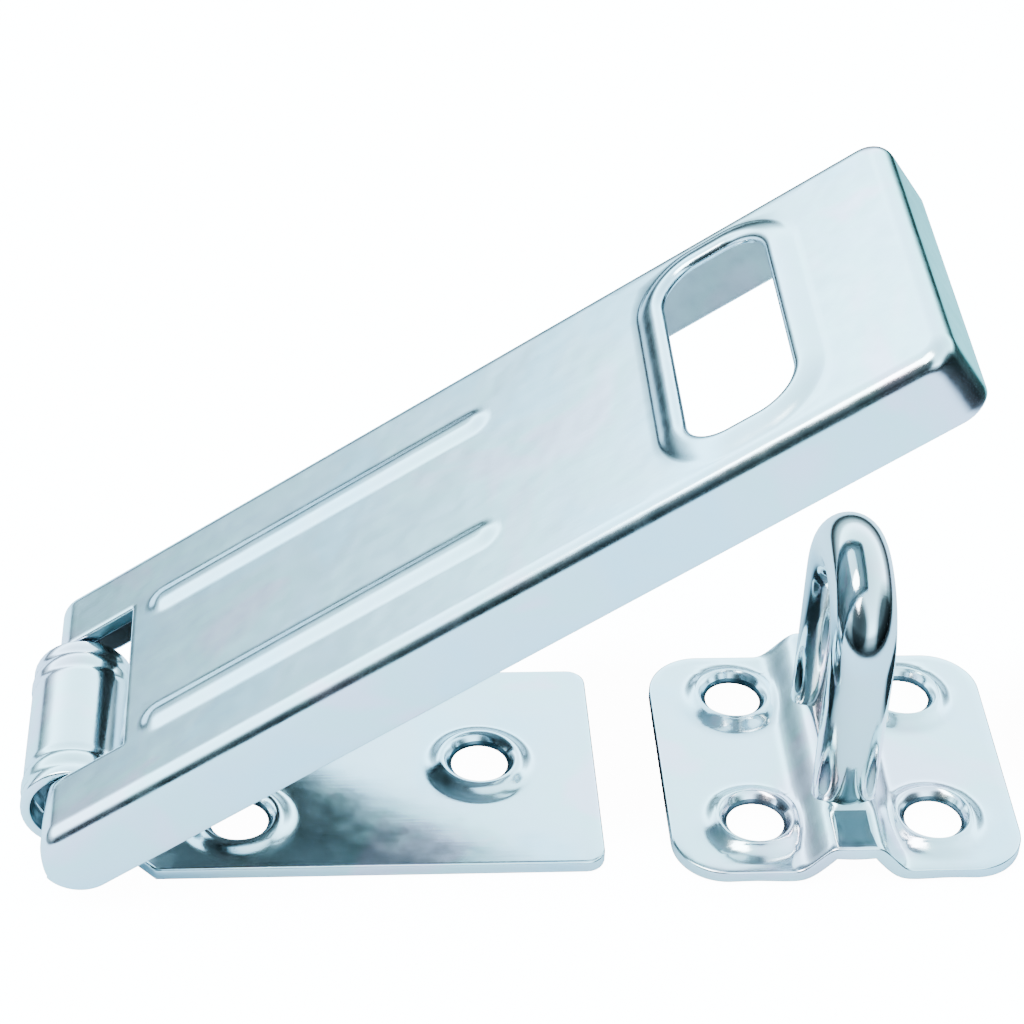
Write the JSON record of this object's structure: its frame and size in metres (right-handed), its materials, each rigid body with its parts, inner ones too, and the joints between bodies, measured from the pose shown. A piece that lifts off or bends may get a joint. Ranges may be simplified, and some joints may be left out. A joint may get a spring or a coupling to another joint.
{
  "type": "hasp and staple",
  "caption": "Pressed steel safety hasp: a hinged, slotted arm on a screwed base plate, with a U-shaped staple on its own plate for a padlock.",
  "frame": {"origin": "on the base plate's screwed-down face, near its middle and 31 mm from under the hinge axis", "axes": "+X from the hinge towards the staple along the closed hasp, +Y across it, +Z away from the mounting face"},
  "size_m": [0.1092, 0.0406, 0.0706],
  "materials": {
    "bright_zinc": "bright zinc plate with a faint blue passivation",
    "plain_steel": "plain drawn steel",
    "polished_steel": "polished and plated rod"
  },
  "bodies": {
    "base": {"base_plate": "bright_zinc"},
    "arm": {"hasp_arm": "bright_zinc", "hinge_pin": "plain_steel"},
    "staple": {"staple_plate": "bright_zinc", "staple_eye": "polished_steel"}
  },
  "joints": [
    {"name": "hasp_hinge", "type": "hinge", "parent": "base", "child": "arm", "pos_m": [-0.031, 0, 0.006], "axis": [0, -1, 0], "range_deg": [-35, 145]},
    {"name": "staple_away", "type": "slide", "parent": "base", "child": "staple", "axis": [1, 0, 0], "range_m": [0, 0.1]}
  ]
}
